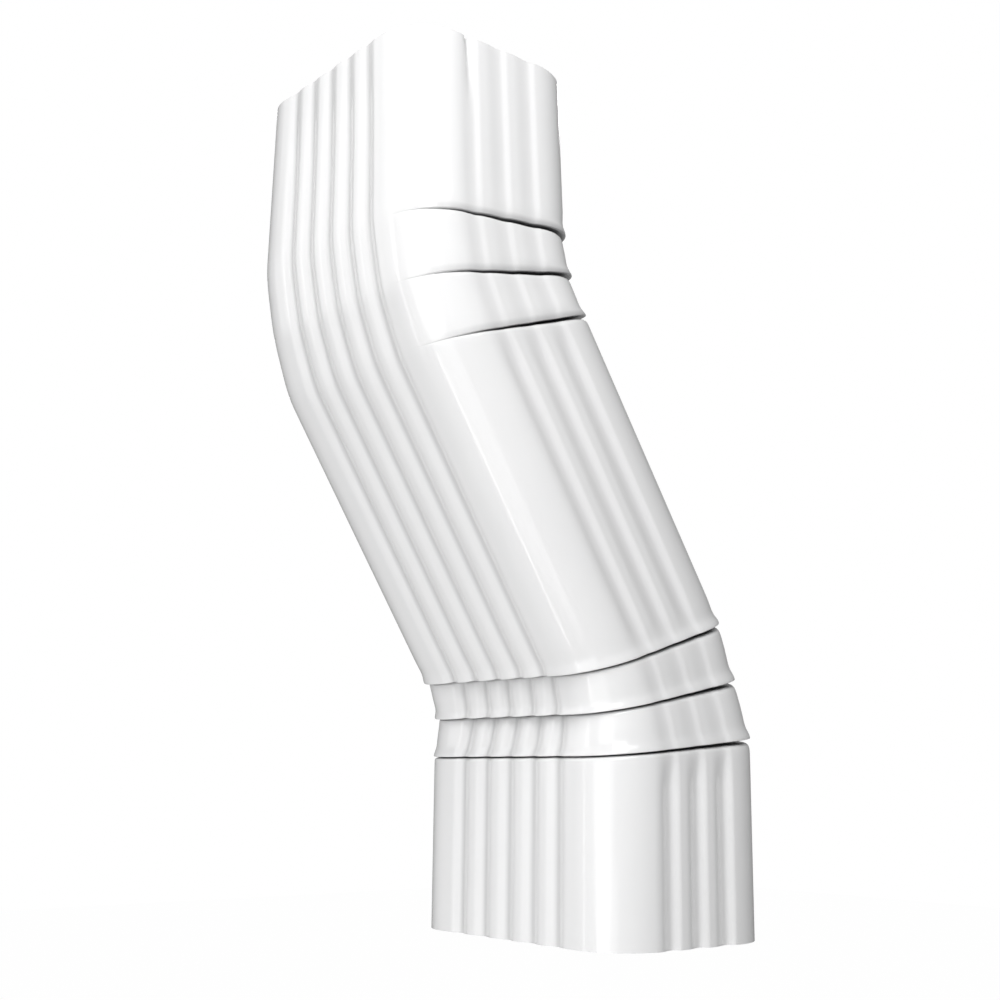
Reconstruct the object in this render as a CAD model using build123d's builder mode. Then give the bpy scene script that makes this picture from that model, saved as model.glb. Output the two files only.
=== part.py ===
# Offset elbow for a rectangular rainwater downspout.
# One piece of thin painted sheet: a straight upper end, an upper bend, a slanting middle run,
# a lower bend and a straight lower end. Every bend is made by three inward pleats of the sheet.
# Millimetres, +Z up. Origin at the centre of the lower mouth. Going down, the duct moves toward +X.
from math import atan2, cos, pi, radians, sin, tan
from build123d import *
import os

# Section of the duct, outside of the sheet
wide = 83.0
narrow = 55.5
corner_radius = 15.0
corner_steps = 3
sheet = 0.6

# The lower end is opened out and the upper end drawn in, so that one piece goes into the next
lower_wide = 86.0
lower_narrow = 59.5
upper_wide = 75.0
upper_narrow = 55.5
upper_bend_wide = 81.0

# Grooves pressed along the faces
groove_pitch = 9.5
wide_grooves = 5
narrow_grooves = 3
groove_mouth = 5.0
groove_depth = 1.4

# Runs between the bends, along the middle of the duct
lower_run = 50.7
middle_run = 91.8
upper_run = 46.8

# Bends
bend = 32.7
pleats = 3
pleat_step = 13.7
pleat_lean = 12.3
pleat_fan = 6.8
lip = 0.8
lip_run = 3.5
tuck = 1.5
pleat_depth = 4.5
pleat_gap = 0.7
pleat_slope = 0.15
fade = 0.22

half_wide = wide / 2
half_narrow = narrow / 2
plain = (1.0, 1.0)
opened = (lower_narrow / narrow, lower_wide / wide)
drawn = (upper_narrow / narrow, upper_wide / wide)
eased = (1.0, upper_bend_wide / wide)
groove_slope = atan2(groove_depth, groove_mouth / 2)


def face_points(count, inset):
    """Positions along a face with their depth below it, from one corner to the next."""
    reach = groove_mouth / 2 + inset * tan(groove_slope / 2)
    points = []
    for index in range(count):
        middle = (index - (count - 1) / 2) * groove_pitch
        points.append((middle - reach, 0.0))
        points.append((middle, groove_depth))
        points.append((middle + reach, 0.0))
    return points


def outline(inset):
    """Points round the section, each with its outward direction."""
    rows = []
    sides = (
        (0.0, half_narrow, half_wide, wide_grooves),
        (pi / 2, half_wide, half_narrow, narrow_grooves),
        (pi, half_narrow, half_wide, wide_grooves),
        (3 * pi / 2, half_wide, half_narrow, narrow_grooves),
    )
    for turn, reach, half_length, count in sides:
        out = (cos(turn), sin(turn))
        along = (-sin(turn), cos(turn))
        for position, depth in face_points(count, inset):
            level = reach - inset - depth
            rows.append((out[0] * level + along[0] * position, out[1] * level + along[1] * position, out))
        centre_out = reach - corner_radius
        centre_along = half_length - corner_radius
        radius = corner_radius - inset
        for step in range(corner_steps + 1):
            angle = turn + pi / 2 * step / corner_steps
            away = (cos(angle), sin(angle))
            x = out[0] * centre_out + along[0] * centre_along + away[0] * radius
            y = out[1] * centre_out + along[1] * centre_along + away[1] * radius
            rows.append((x, y, away))
    return rows


def ring(inset, side, lift, drop, spread):
    """Section pushed out by lift and in by drop, both fading out on the face at the outside of the bend."""
    points = []
    for x, y, out in outline(inset):
        share = 0.5 + side * x / narrow
        rise = min(max(share / fade, 0.0), 1.0)
        grow = lift * rise * rise * (3 - 2 * rise) - drop * max(share, 0.0)
        points.append(((x + out[0] * grow) * spread[0], (y + out[1] * grow) * spread[1]))
    return points


def pleat_planes():
    """Middle point and lean of every pleat, from the lowest up."""
    rows = []
    x, z = 0.0, lower_run
    for index in range(pleats):
        rows.append((x, z, pleat_lean + (index - (pleats - 1) / 2) * pleat_fan, -1))
        heading = bend * (index + 1) / pleats
        length = pleat_step if index < pleats - 1 else middle_run
        x -= length * sin(radians(heading))
        z += length * cos(radians(heading))
    for index in range(pleats):
        rows.append((x, z, pleat_lean + ((pleats - 1) / 2 - index) * pleat_fan, 1))
        heading = bend * (pleats - 1 - index) / pleats
        length = pleat_step if index < pleats - 1 else upper_run
        x -= length * sin(radians(heading))
        z += length * cos(radians(heading))
    return rows, (x, z)


planes, top = pleat_planes()


def stations(inset):
    """Rows of plane place, lean and section, from the lower mouth to the upper one."""
    rows = []
    below = 2.0 if inset else 0.0
    rows.append((0.0, -below, 0.0, ring(inset, -1, 0, 0, opened)))
    for index, (x, z, lean, side) in enumerate(planes):
        up = (-sin(radians(lean)), cos(radians(lean)))
        spread = opened if index == 0 else eased if index > pleats else plain
        levels = [(-pleat_gap - inset, 0.0, 0.0 if index in (0, pleats) else tuck)]
        if inset:
            levels.append((pleat_slope - pleat_gap - inset, 0.0, pleat_depth))
            levels.append((inset - pleat_slope, 0.0, pleat_depth))
        else:
            levels.append((-pleat_gap / 2, 0.0, pleat_depth))
        levels.append((inset, lip, 0.0))
        for level, lift, drop in levels:
            rows.append((x + up[0] * level, z + up[1] * level, lean, ring(inset, side, lift, drop, spread)))
        if index in (pleats - 1, 2 * pleats - 1):
            heading = radians(bend if index == pleats - 1 else 0.0)
            above = (x - lip_run * sin(heading), z + lip_run * cos(heading))
            rows.append((*above, lean, ring(inset, side, 0, 0, spread)))
    rows.append((top[0], top[1] + below, 0.0, ring(inset, 1, 0, 0, drawn)))
    return rows


def place(x, z, lean):
    return Plane(origin=(x, 0, z), x_dir=(cos(radians(lean)), 0, sin(radians(lean))),
                 z_dir=(-sin(radians(lean)), 0, cos(radians(lean))))


with BuildPart() as elbow:
    for x, z, lean, points in stations(0.0):
        with BuildSketch(place(x, z, lean)):
            with BuildLine():
                Polyline(*points, close=True)
            make_face()
    loft(ruled=True)
    for x, z, lean, points in stations(sheet):
        with BuildSketch(place(x, z, lean)):
            with BuildLine():
                Polyline(*points, close=True)
            make_face()
    loft(ruled=True, mode=Mode.SUBTRACT)

elbow.part.label = "offset_elbow"

os.makedirs("parts", exist_ok=True)
export_step(elbow.part, "parts/offset_elbow.step")
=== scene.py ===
import math

import bpy
import numpy as np
from mathutils import Matrix, Vector


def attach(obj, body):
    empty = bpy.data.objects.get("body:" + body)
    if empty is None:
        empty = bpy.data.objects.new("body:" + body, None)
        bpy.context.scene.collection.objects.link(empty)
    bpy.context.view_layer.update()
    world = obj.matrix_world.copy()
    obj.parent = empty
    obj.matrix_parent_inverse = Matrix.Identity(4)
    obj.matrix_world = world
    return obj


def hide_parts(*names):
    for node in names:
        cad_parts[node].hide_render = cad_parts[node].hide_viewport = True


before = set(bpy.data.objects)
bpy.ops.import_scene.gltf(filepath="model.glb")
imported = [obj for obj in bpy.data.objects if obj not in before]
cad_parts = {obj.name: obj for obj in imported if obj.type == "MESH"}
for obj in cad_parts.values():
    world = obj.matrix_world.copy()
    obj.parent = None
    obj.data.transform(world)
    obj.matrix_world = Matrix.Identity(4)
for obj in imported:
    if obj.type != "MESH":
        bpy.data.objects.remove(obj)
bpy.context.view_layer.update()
scene = bpy.context.scene

# Section of the duct in metres, and how it is spread at the mouths and in the upper bend
WIDE = 0.083
NARROW = 0.0555
CORNER = 0.015
SHEET = 0.0006
PLAIN = (1.0, 1.0)
OPENED = (0.0595 / NARROW, 0.086 / WIDE)
DRAWN = (0.0555 / NARROW, 0.075 / WIDE)
EASED = (1.0, 0.081 / WIDE)

# Grooves: on the narrow faces one flank is steep and the other gentle, and the far face mirrors the near one
PITCH = 0.0095
GROOVE_DEPTH = 0.0014
WIDE_GROOVES = 5
NARROW_GROOVES = 3
EVEN_FLANK = 0.0038
STEEP_FLANK = 0.0024
GENTLE_FLANK = 0.0055

# Columns of the mesh along a face and round a corner, and rows along a plain stretch
WIDE_COLUMNS = 62
NARROW_COLUMNS = 56
CORNER_COLUMNS = 16
ROW_STEP = 0.003
FEWEST_ROWS = 3

# The run: three straight lengths and two bends of three pleats each, angles in degrees
LOWER_RUN = 0.0507
MIDDLE_RUN = 0.0918
UPPER_RUN = 0.0468
BEND = 32.7
PLEATS = 3
PLEAT_STEP = 0.0137
PLEAT_LEAN = 12.3
PLEAT_FAN = 6.8

# Kinks between the planes are rounded off by a weighted mean of samples, in steps of this distance
SOFTENING = 0.0028
SOFTENING_STEPS = np.linspace(-2, 2, 9)

# The two bends, named by the side of X on which their pleats are deepest
LOWER = -1
UPPER = 1
BENDS = (LOWER, UPPER)

# Pleats. A fold begins at one share of the way across the section and grows over the next, by a power
PLEAT_DEPTH = 0.0045
FOLD_GROWTH = {LOWER: (-0.04, 0.12, 1.0), UPPER: (0.0, 0.6, 1.25)}
LIP = 0.0005
FACE_TUCK = 0.0030
CORNER_TUCK = {LOWER: 0.0006, UPPER: 0.0004}
FACE_FALL = 1.6

# How the lips stand out and the gaps widen across the section: shares of the way, and the factors there
LIP_FLARE = {LOWER: ((0.0, 1.0), (1.0, 0.6)), UPPER: ((0.75, 0.95), (-0.6, 1.0))}
GAP_WIDTH = {LOWER: ((0.0, 1.0), (1.9, 0.8)), UPPER: ((0.0, 1.0), (0.95, 1.7))}

# Part of the grooves that is kept: in the bends and straight lengths of the narrow faces, and at the rim
BEND_GROOVE = 0.26
RUN_GROOVE = (1.0, 0.8, 0.36)
GROOVE_RUNOUT = 0.010
WIDE_GROOVE = 0.82
RIM_GROOVE = 0.4
RIM_RUNOUT = 0.028

# Crease beside the upper rim
CREASE_LENGTH = 0.022
CREASE_PLACE = -0.0103
CREASE_WIDTH = 0.0009
CREASE_DEPTH = 0.0012

# Painted shade outside the folds, darkening where shade falls: in the grooves of the wide faces, above the
# upper pleats and in the crease
GROOVE_SHADE = 0.135
GROOVE_SHADE_POWER = 3
UPPER_SHADE = 0.21
UPPER_SHADE_POWER = 0.3
UPPER_SHADE_REACH = 0.0015
# Painted shade in the crease beside the upper rim
CREASE_SHADE = 0.2

# Profile above a pleat: distance from it, part of the lip's push outward, part of the fold's depth
ABOVE = (
    (-0.00024, 0.0, 0.6),
    (-0.00014, 0.2, 0.22),
    (-0.00006, 0.55, 0.06),
    (0.00004, 0.85, 0.0),
    (0.0002, 1.0, 0.0),
    (0.0004, 1.0, 0.0),
    (0.0007, 0.92, 0.0),
    (0.0010, 0.78, 0.0),
    (0.0014, 0.52, 0.0),
    (0.0019, 0.2, 0.0),
    (0.0024, -0.12, 0.0),
    (0.0030, -0.3, 0.0),
    (0.0037, -0.38, 0.0),
    (0.0045, -0.34, 0.0),
    (0.0055, -0.2, 0.0),
    (0.0065, -0.12, 0.0),
    (0.0075, 0.0, 0.0),
)
# Distances of the rows below a pleat, and the part of the fold's depth at such a distance for a plain gap
BELOW = (0.00030, 0.00042, 0.00054, 0.00066, 0.00080, 0.00096, 0.0012, 0.0015, 0.0019, 0.0024, 0.0030, 0.0036)
GAP_REACH = (0.00034, 0.00044, 0.00052, 0.00062, 0.00074, 0.0009, 0.0011, 0.0014, 0.0018)
GAP_DEPTH = (1.0, 0.55, 0.33, 0.2, 0.12, 0.065, 0.03, 0.01, 0.0)

# White enamel
ENAMEL_DULL = (0.86, 0.86, 0.865, 1)
ENAMEL_BRIGHT = (0.90, 0.90, 0.90, 1)
# Dark grey mixed into the enamel as painted shade in folds, grooves and crease; the fold attribute sets how
# much, from where it begins to where it is full
PAINTED_SHADE = (0.16, 0.16, 0.165, 1)
PAINTED_SHADE_BEGINS = 0.05
PAINTED_SHADE_FULL = 0.4
ROUGHNESS = 0.13
ROUGHNESS_CHANGE = 0.06
SPECULAR = 0.5
COAT = 0.35
COAT_ROUGHNESS = 0.06
WAVE_HEIGHT = 0.00007
PEEL_HEIGHT = 0.000004
BUMP_STRENGTH = 0.6

# Camera as found from the photo, angles in degrees
CAMERA_PLACE = (-0.2787, -0.2994, 0.0427)
CAMERA_AZIMUTH = 39.39
CAMERA_PITCH = 10.98
CAMERA_ROLL = 0.52
CAMERA_LENS = 51.05
CAMERA_SENSOR = 36

# Floor and world, which look white to the camera and light the piece as grey ones
FLOOR_LEVEL = -0.27
FLOOR_REACH = 3
FLOOR_GREY = (0.86, 0.86, 0.86, 1)
FLOOR_ROUGHNESS = 0.9
FLOOR_SEEN = 1.08
FLOOR_SEEN_PART = 0.9
WORLD_AMBIENT = 0.24
WORLD_SEEN = 1.0
WHITE = (1, 1, 1, 1)


def ease(t):
    """Smooth step from 0 to 1."""
    return t * t * (3 - 2 * t)


def face_columns(half, count, columns, before, after):
    """Positions along a face, and the depth there of grooves whose flanks reach so far before and after."""
    position = np.linspace(-half, half, columns, endpoint=False)
    depth = np.zeros_like(position)
    for index in range(count):
        away = position - (index - (count - 1) / 2) * PITCH
        away = away / np.where(away < 0, before, after)
        depth += np.where(np.abs(away) < 1, 0.5 + 0.5 * np.cos(math.pi * away), 0.0)
    return position, depth * GROOVE_DEPTH


def section():
    """Columns round the section: place, outward direction, groove depth on wide and on narrow faces."""
    place, out, grooves = [], [], []
    wide = (NARROW / 2, WIDE / 2, WIDE_GROOVES, WIDE_COLUMNS, EVEN_FLANK, EVEN_FLANK)
    far = (WIDE / 2, NARROW / 2, NARROW_GROOVES, NARROW_COLUMNS, STEEP_FLANK, GENTLE_FLANK)
    near = (WIDE / 2, NARROW / 2, NARROW_GROOVES, NARROW_COLUMNS, GENTLE_FLANK, STEEP_FLANK)
    for side, (reach, half, count, columns, before, after) in enumerate((wide, far, wide, near)):
        turn = side * math.pi / 2
        outward = np.array([math.cos(turn), math.sin(turn)])
        along = np.array([-math.sin(turn), math.cos(turn)])
        for position, depth in zip(*face_columns(half - CORNER, count, columns, before, after)):
            place.append(outward * reach + along * position)
            out.append(outward)
            grooves.append((depth, 0.0) if count == WIDE_GROOVES else (0.0, depth))
        for step in range(CORNER_COLUMNS):
            angle = turn + math.pi / 2 * step / CORNER_COLUMNS
            away = np.array([math.cos(angle), math.sin(angle)])
            place.append(outward * (reach - CORNER) + along * (half - CORNER) + away * CORNER)
            out.append(away)
            grooves.append((0.0, 0.0))
    return np.array(place), np.array(out), np.array(grooves)


PLACE, OUT, GROOVES = section()


def planes():
    """Middle point, lean and spread at the mouths and pleats, from the lower mouth up."""
    rows = [(0.0, 0.0, 0.0, OPENED)]
    x, z = 0.0, LOWER_RUN
    for index in range(2 * PLEATS):
        low = index < PLEATS
        step = index if low else 2 * PLEATS - 1 - index
        lean = PLEAT_LEAN + (step - 1) * PLEAT_FAN
        rows.append((x, z, lean, OPENED if index == 0 else EASED if index > PLEATS else PLAIN))
        turns = index + 1 if low else 2 * PLEATS - 1 - index
        heading = math.radians(BEND * turns / PLEATS)
        length = {PLEATS - 1: MIDDLE_RUN, 2 * PLEATS - 1: UPPER_RUN}.get(index, PLEAT_STEP)
        x -= length * math.sin(heading)
        z += length * math.cos(heading)
    rows.append((x, z, 0.0, DRAWN))
    return rows


def station(x, z, lean, spread):
    """The bare section put in its plane."""
    c, s = math.cos(math.radians(lean)), math.sin(math.radians(lean))
    u = PLACE[:, 0] * spread[0]
    return np.stack([x + u * c, PLACE[:, 1] * spread[1], z + u * s], axis=1)


PLANES = planes()
STATIONS = np.array([station(*plane) for plane in PLANES])
CENTRES = np.array([plane[:2] for plane in PLANES])
LEANS = np.radians([plane[2] for plane in PLANES])
LENGTHS = np.linalg.norm(np.diff(CENTRES, axis=0), axis=1)
MARKS = np.concatenate([[0.0], np.cumsum(LENGTHS)])
TOP_STRETCH = len(LENGTHS) - 1


def bare(distance):
    """Bare section at a distance along the middle line, straight between the stations."""
    index = int(np.clip(np.searchsorted(MARKS, distance) - 1, 0, TOP_STRETCH))
    t = (distance - MARKS[index]) / LENGTHS[index]
    return STATIONS[index] * (1 - t) + STATIONS[index + 1] * t


def soft(distance):
    """Bare section with its kinks rounded off, as a weighted mean of its neighbours."""
    total, weight = 0.0, 0.0
    for away in SOFTENING_STEPS:
        w = math.exp(-away * away / 2)
        total = total + bare(distance + away * SOFTENING) * w
        weight += w
    return total / weight


def crease(distance):
    """Part of the crease that drawing in the upper rim has left in one groove of the near narrow face."""
    t = np.clip((distance - MARKS[-1]) / CREASE_LENGTH + 1, 0, 1)
    across = (PLACE[:, 0] - CREASE_PLACE) / CREASE_WIDTH
    return np.where(PLACE[:, 1] < 0, np.exp(-across * across), 0.0) * t * t


def grooving(distance):
    """Depth of the grooves round the section: those of the narrow faces are half pressed out in the bends."""
    away = max(MARKS[1] - distance, distance - MARKS[2 * PLEATS])
    away = max(away, min(distance - MARKS[PLEATS], MARKS[PLEATS + 1] - distance), 0.0)
    run = int(distance > MARKS[PLEATS]) + int(distance > MARKS[PLEATS + 1])
    kept = BEND_GROOVE + (RUN_GROOVE[run] - BEND_GROOVE) * ease(min(away / GROOVE_RUNOUT, 1.0))
    rim = RIM_GROOVE + (1 - RIM_GROOVE) * ease(np.clip((MARKS[-1] - distance) / RIM_RUNOUT, 0, 1))
    return GROOVES[:, 0] * rim * WIDE_GROOVE + GROOVES[:, 1] * kept + crease(distance) * CREASE_DEPTH


# Share of the way across the section toward the side on which the bend's pleats are deepest
SHARES = {bend: 0.5 + bend * PLACE[:, 0] / NARROW for bend in BENDS}


def growth(bend):
    """How far a fold of the bend has grown in each column, from 0 at its sharp end to 1."""
    begin, length, power = FOLD_GROWTH[bend]
    return np.clip((SHARES[bend] - begin) / length, 0, 1) ** power


GROWTH = {bend: growth(bend) for bend in BENDS}
FLARE = {bend: np.interp(SHARES[bend], *stops) for bend, stops in LIP_FLARE.items()}
GAP = {bend: np.interp(SHARES[bend], *stops) for bend, stops in GAP_WIDTH.items()}
# A wide face is tucked in deeper than its corners
FACE_SHARE = np.clip(FACE_FALL - FACE_FALL * np.abs(PLACE[:, 1]) / (WIDE / 2), 0, 1)
TUCK = {
    bend: (corner + (FACE_TUCK - corner) * FACE_SHARE) * np.maximum(SHARES[bend], 0)
    for bend, corner in CORNER_TUCK.items()
}


def stretch_rows(index, head):
    """Rows of one stretch: distance from its foot, lip, depth of the fold at the foot and at the head."""
    length = LENGTHS[index]
    if index > 0:
        rows = [(away, lip, fold, 0.0) for away, lip, fold in ABOVE]
    else:
        rows = [(0.0, 0.0, 0.0, 0.0)]
    first = rows[-1][0]
    last = length - BELOW[-1] if index < TOP_STRETCH else length
    count = max(FEWEST_ROWS, int((last - first) / ROW_STEP))
    for k in range(1, count):
        rows.append((first + (last - first) * k / count, 0.0, 0.0, 0.0))
    if index < TOP_STRETCH:
        for away in reversed(BELOW):
            rows.append((length - away, 0.0, 0.0, np.interp(away / GAP[head], GAP_REACH, GAP_DEPTH)))
    else:
        rows.append((length, 0.0, 0.0, 0.0))
    return rows


def build_rows():
    """Distance along the middle line, push outward and painted shade of every row, from the lower mouth up.
    """
    rows = []
    # Painted shade in the grooves of the wide faces, deepest at their bottoms
    groove_shade = GROOVE_SHADE * (GROOVES[:, 0] / GROOVE_DEPTH) ** GROOVE_SHADE_POWER
    for index, length in enumerate(LENGTHS):
        foot = LOWER if index <= PLEATS else UPPER
        head = LOWER if index < PLEATS else UPPER
        tuck = 0.0 if index in (0, PLEATS, TOP_STRETCH) else TUCK[head]
        for away, lip, foot_fold, head_fold in stretch_rows(index, head):
            distance = MARKS[index] + away
            fold = GROWTH[foot] * foot_fold + GROWTH[head] * head_fold
            push = LIP * lip * GROWTH[foot] * FLARE[foot] - PLEAT_DEPTH * fold
            push = push - tuck * np.clip(away / length, 0, 1) - grooving(distance)
            # Painted shade: darker with the fold's depth at the pleats, in the grooves of the wide faces and
            # in the crease
            painted_shade = fold + groove_shade + CREASE_SHADE * crease(distance)
            # Painted shade just above each upper pleat, where the sheet turns in and faces down
            if foot == UPPER:
                fade = math.exp(-(away / UPPER_SHADE_REACH) ** 2)
                painted_shade = painted_shade + UPPER_SHADE * GROWTH[UPPER] ** UPPER_SHADE_POWER * fade
            rows.append((distance, push, painted_shade))
    return rows


def skin(inset, rows):
    """Grid of points for the skin pushed in by inset, cut square at both mouths."""
    grid = []
    for distance, push, _ in rows:
        lean = np.interp(distance, MARKS, LEANS)
        c, s = math.cos(lean), math.sin(lean)
        x, y = OUT[:, 0] * (push - inset), OUT[:, 1] * (push - inset)
        grid.append(soft(distance) + np.stack([x * c, y, x * s], axis=1))
    grid = np.array(grid)
    grid[0, :, 2] = STATIONS[0][:, 2]
    grid[-1, :, 2] = STATIONS[-1][:, 2]
    return grid


def grid_faces(rows, columns, flip):
    """Faces of a closed grid, turned over for a skin that faces inward."""
    faces = []
    for row in range(rows - 1):
        low, high = row * columns, (row + 1) * columns
        for column in range(columns):
            beside = (column + 1) % columns
            quad = [low + column, low + beside, high + beside, high + column]
            faces.append(quad[::-1] if flip else quad)
    return faces


def make_mesh(name, grid, flip, material, painted_shade=None):
    """One piece of the sheet from a closed grid of points."""
    mesh = bpy.data.meshes.new(name)
    mesh.from_pydata([tuple(point) for point in grid.reshape(-1, 3)], [], grid_faces(*grid.shape[:2], flip))
    mesh.materials.append(material)
    mesh.polygons.foreach_set("use_smooth", [True] * len(mesh.polygons))
    if painted_shade is not None:
        # The fold attribute carries painted shade for the material: darkening in folds, grooves and crease
        layer = mesh.attributes.new("fold", "FLOAT", "POINT")
        layer.data.foreach_set("value", np.clip(painted_shade, 0, 1).astype(np.float32).ravel())
    mesh.update()
    piece = bpy.data.objects.new(name, mesh)
    scene.collection.objects.link(piece)
    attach(piece, "root")
    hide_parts("offset_elbow")
    return piece


class Value:
    """A shader socket that can be used in arithmetic."""

    def __init__(self, nodes, socket):
        self.nodes = nodes
        self.socket = socket

    def __add__(self, other):
        return self.nodes.make("ShaderNodeMath", {"operation": "ADD"}, {0: self, 1: other}, "Value")

    __radd__ = __add__

    def __mul__(self, other):
        return self.nodes.make("ShaderNodeMath", {"operation": "MULTIPLY"}, {0: self, 1: other}, "Value")

    __rmul__ = __mul__


class Nodes:
    """The nodes of one material or of the world."""

    def __init__(self, tree):
        self.tree = tree

    def put(self, socket, value):
        """Link a value to a socket, or set the socket to a plain number or colour."""
        if isinstance(value, Value):
            self.tree.links.new(value.socket, socket)
        else:
            socket.default_value = value

    def make(self, kind, settings, sockets, output):
        """A node of a type, with its settings and the values or links of its sockets. Gives one output."""
        made = self.tree.nodes.new(kind)
        for name, setting in settings.items():
            setattr(made, name, setting)
        for name, value in sockets.items():
            self.put(made.inputs[name], value)
        return Value(self, made.outputs[output])

    def mix(self, factor, low, high):
        sockets = {"Factor": factor, "A": low, "B": high}
        return self.make("ShaderNodeMix", {"data_type": "RGBA"}, sockets, "Result")

    def show_camera(self, part, usual, seen):
        """The camera sees another shader in part or in full, while all other light meets the usual one."""
        factor = self.make("ShaderNodeLightPath", {}, {}, "Is Camera Ray") * part
        return self.make("ShaderNodeMixShader", {}, {"Fac": factor, 1: usual, 2: seen}, "Shader")


def new_material(name):
    """A material, its nodes and its shader."""
    material = bpy.data.materials.new(name)
    material.use_nodes = True
    return material, Nodes(material.node_tree), material.node_tree.nodes["Principled BSDF"]


def white_enamel():
    """Glossy white with slight changes in colour and roughness, orange-peel relief, and painted shade: the
    fold attribute darkens the colour in folds, grooves and crease.
    """
    material, nodes, surface = new_material("white_enamel")
    place = nodes.make("ShaderNodeTexCoord", {}, {}, "Object")

    def noise(scale, detail, roughness):
        sockets = {"Vector": place, "Scale": scale, "Detail": detail, "Roughness": roughness}
        return nodes.make("ShaderNodeTexNoise", {}, sockets, "Fac")

    broad = noise(scale=22.0, detail=3.0, roughness=0.5)
    peel = noise(scale=900.0, detail=2.0, roughness=0.5)
    wave = noise(scale=70.0, detail=1.0, roughness=0.4)
    # Painted shade: the fold attribute darkens the base colour where shade falls in folds, grooves and crease
    fold = nodes.make("ShaderNodeAttribute", {"attribute_name": "fold"}, {}, "Fac")
    stops = {"Value": fold, "From Min": PAINTED_SHADE_BEGINS, "From Max": PAINTED_SHADE_FULL}
    painted_shade = nodes.make("ShaderNodeMapRange", {}, stops, "Result")
    height = wave * WAVE_HEIGHT + peel * PEEL_HEIGHT
    relief = {"Strength": BUMP_STRENGTH, "Distance": 1.0, "Height": height}
    white = nodes.mix(broad, ENAMEL_DULL, ENAMEL_BRIGHT)
    nodes.put(surface.inputs["Base Color"], nodes.mix(painted_shade, white, PAINTED_SHADE))
    nodes.put(surface.inputs["Roughness"], broad * ROUGHNESS_CHANGE + ROUGHNESS)
    nodes.put(surface.inputs["Specular IOR Level"], SPECULAR)
    nodes.put(surface.inputs["Coat Weight"], COAT)
    nodes.put(surface.inputs["Coat Roughness"], COAT_ROUGHNESS)
    nodes.put(surface.inputs["Normal"], nodes.make("ShaderNodeBump", {}, relief, "Normal"))
    return material


paint = white_enamel()
skin_rows = build_rows()
outer = skin(0.0, skin_rows)
inner = skin(SHEET, skin_rows)
# Only the outer skin carries the painted shade of every point
make_mesh("sheet_outside", outer, False, paint, np.array([painted_shade for _, _, painted_shade in skin_rows]))
make_mesh("sheet_inside", inner, True, paint)
make_mesh("lower_edge", np.stack([outer[0], inner[0]]), True, paint)
make_mesh("upper_edge", np.stack([outer[-1], inner[-1]]), False, paint)


def set_camera():
    """The camera looks up at the piece from its near corner."""
    azimuth, pitch, roll = (math.radians(angle) for angle in (CAMERA_AZIMUTH, CAMERA_PITCH, CAMERA_ROLL))
    forward = Vector((
        math.sin(azimuth) * math.cos(pitch),
        math.cos(azimuth) * math.cos(pitch),
        math.sin(pitch),
    ))
    level = Vector((math.cos(azimuth), -math.sin(azimuth), 0))
    upward = level.cross(forward)
    right = level * math.cos(roll) + upward * math.sin(roll)
    top = -level * math.sin(roll) + upward * math.cos(roll)
    data = bpy.data.cameras.new("camera")
    data.lens = CAMERA_LENS
    data.sensor_width = CAMERA_SENSOR
    camera = bpy.data.objects.new("camera", data)
    matrix = Matrix((right, top, -forward)).transposed().to_4x4()
    matrix.translation = Vector(CAMERA_PLACE)
    camera.matrix_world = matrix
    scene.collection.objects.link(camera)
    scene.camera = camera


def lay_floor():
    """The floor lies well below the piece, which hangs from its mouths."""
    material, nodes, surface = new_material("floor_white")
    nodes.put(surface.inputs["Base Color"], FLOOR_GREY)
    nodes.put(surface.inputs["Roughness"], FLOOR_ROUGHNESS)
    nodes.put(surface.inputs["Specular IOR Level"], 0.0)
    usual = Value(nodes, surface.outputs["BSDF"])
    seen = nodes.make("ShaderNodeEmission", {}, {"Strength": FLOOR_SEEN}, "Emission")
    output = nodes.tree.nodes["Material Output"]
    nodes.put(output.inputs["Surface"], nodes.show_camera(FLOOR_SEEN_PART, usual, seen))
    quarters = ((-1, -1), (1, -1), (1, 1), (-1, 1))
    corners = [(x * FLOOR_REACH, y * FLOOR_REACH, FLOOR_LEVEL) for x, y in quarters]
    mesh = bpy.data.meshes.new("floor")
    mesh.from_pydata(corners, [], [(0, 1, 2, 3)])
    mesh.materials.append(material)
    floor = bpy.data.objects.new("floor", mesh)
    scene.collection.objects.link(floor)


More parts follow.
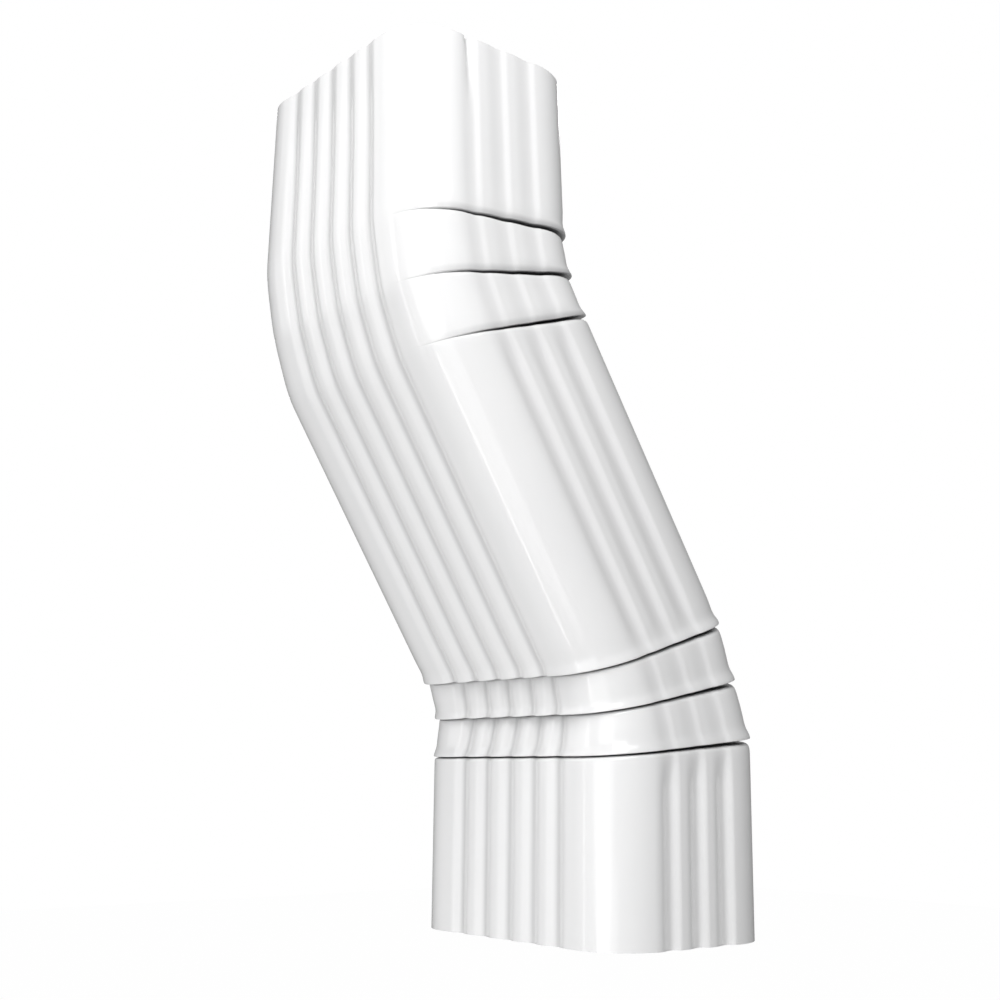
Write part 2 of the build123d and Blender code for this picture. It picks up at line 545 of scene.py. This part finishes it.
def light_world():
    """Even weak light from all round."""
    world = bpy.data.worlds.new("studio")
    scene.world = world
    world.use_nodes = True
    nodes = Nodes(world.node_tree)
    nodes.tree.nodes.clear()

    def background(strength):
        return nodes.make("ShaderNodeBackground", {}, {"Color": WHITE, "Strength": strength}, "Background")

    output = nodes.tree.nodes.new("ShaderNodeOutputWorld")
    shown = nodes.show_camera(1.0, background(WORLD_AMBIENT), background(WORLD_SEEN))
    nodes.put(output.inputs["Surface"], shown)


def lamp(name, place, aim, size, power, shape="RECTANGLE", turn=0):
    """Area lamp aimed at a point, in metres and watts, turned about its own axis in degrees."""
    data = bpy.data.lights.new(name, "AREA")
    data.shape = shape
    data.size, data.size_y = size
    data.energy = power
    lamp_object = bpy.data.objects.new(name, data)
    lamp_object.location = place
    facing = (Vector(aim) - Vector(place)).to_track_quat("-Z", "Y").to_matrix()
    lamp_object.rotation_euler = (facing @ Matrix.Rotation(math.radians(turn), 3, "Z")).to_euler()
    scene.collection.objects.link(lamp_object)


set_camera()
lay_floor()
light_world()
lamp("corner_high", (-0.43, -0.45, 0.40), (-0.05, -0.02, 0.19), (0.3, 0.3), 1.40)
lamp("front_top", (-0.18, -0.32, 0.45), (-0.05, -0.02, 0.20), (0.3, 0.26), 0.90)
lamp("key_low", (-0.66, -0.22, 0.09), (-0.05, -0.02, 0.06), (0.52, 0.40), 0.76, "ELLIPSE", 20)
lamp("left_high", (-0.55, 0.38, 0.38), (-0.05, -0.02, 0.16), (0.45, 0.5), 0.68)
lamp("low_fill", (-0.44, -0.20, -0.135), (-0.05, -0.02, 0.13), (0.36, 0.3), 0.38)
lamp("back_strip", (-0.57, 0.23, 0.08), (-0.03, -0.02, 0.03), (0.025, 0.42), 0.10)
lamp("low_strip", (-0.34, -0.038, -0.14), (-0.05, -0.02, 0.12), (0.012, 0.20), 0.038)
lamp("back_fill", (0.30, 0.42, 0.75), (-0.03, 0.0, 0.12), (0.5, 0.5), 3.0)

scene.view_settings.view_transform = "Standard"
